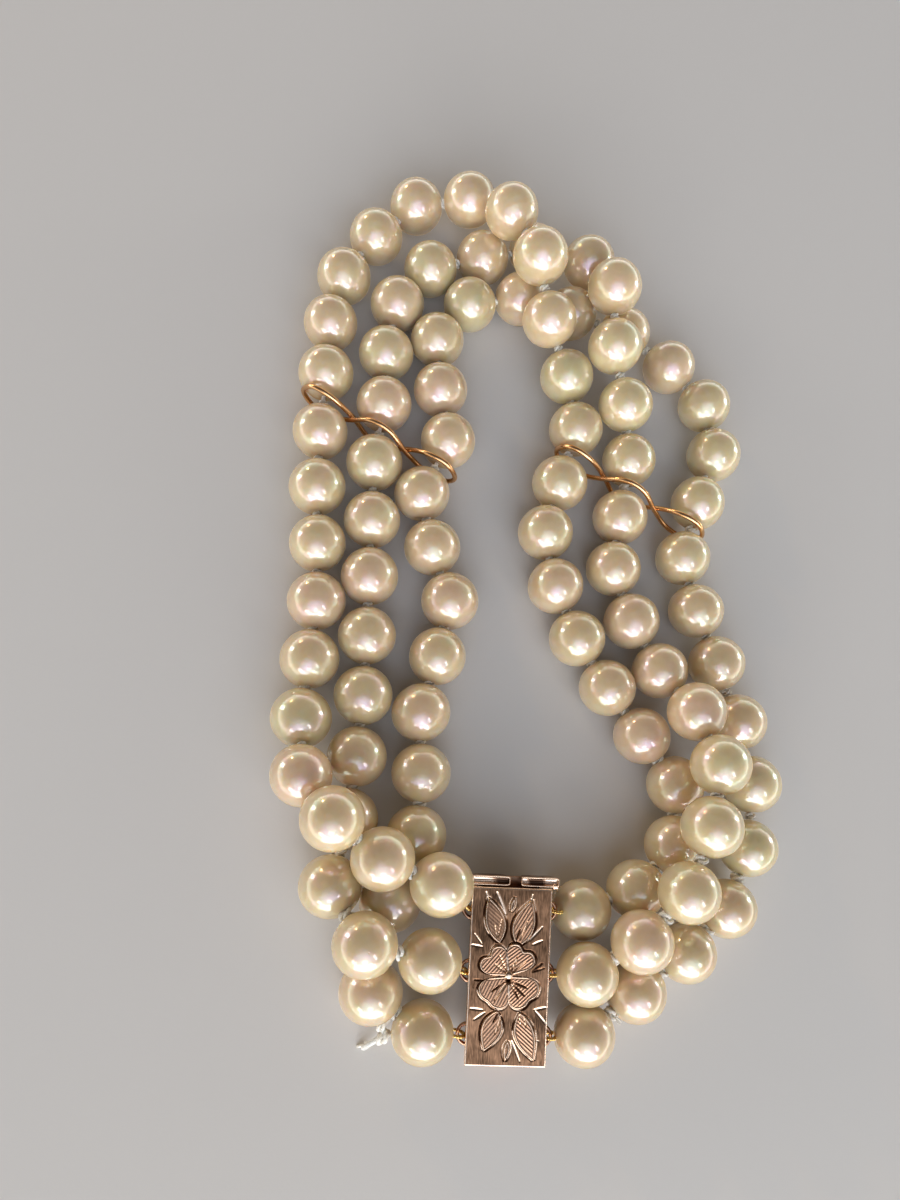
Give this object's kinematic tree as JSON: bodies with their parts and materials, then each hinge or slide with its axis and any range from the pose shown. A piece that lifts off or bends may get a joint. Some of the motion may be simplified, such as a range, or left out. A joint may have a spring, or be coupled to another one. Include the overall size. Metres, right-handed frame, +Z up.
{
  "type": "three-strand pearl bracelet",
  "caption": "Knotted strings of pearls joined side by side by wire spacers and closed with a rectangular engraved box clasp, lying in a loose twisted loop.",
  "frame": {"origin": "on the surface that the bracelet lies on, under the middle of its bounding box", "axes": "+Z up from the surface, +Y along the loop from the clasp to the far end, +X to the right as seen from the clasp with the loop ahead"},
  "size_m": [0.0544, 0.0986, 0.0123],
  "materials": {
    "pearl": "cream cultured pearl with a soft satin lustre",
    "spacer_wire": "polished gold wire",
    "clasp_gold": "worn rose gold, finely engraved",
    "tongue_gold": "dull rose gold"
  },
  "bodies": {
    "root": {"pearl_strand_1": "pearl", "pearl_strand_2": "pearl", "pearl_strand_3": "pearl", "spacer_left": "spacer_wire", "spacer_right": "spacer_wire", "clasp_box": "clasp_gold", "clasp_tongue": "tongue_gold"}
  },
  "joints": []
}
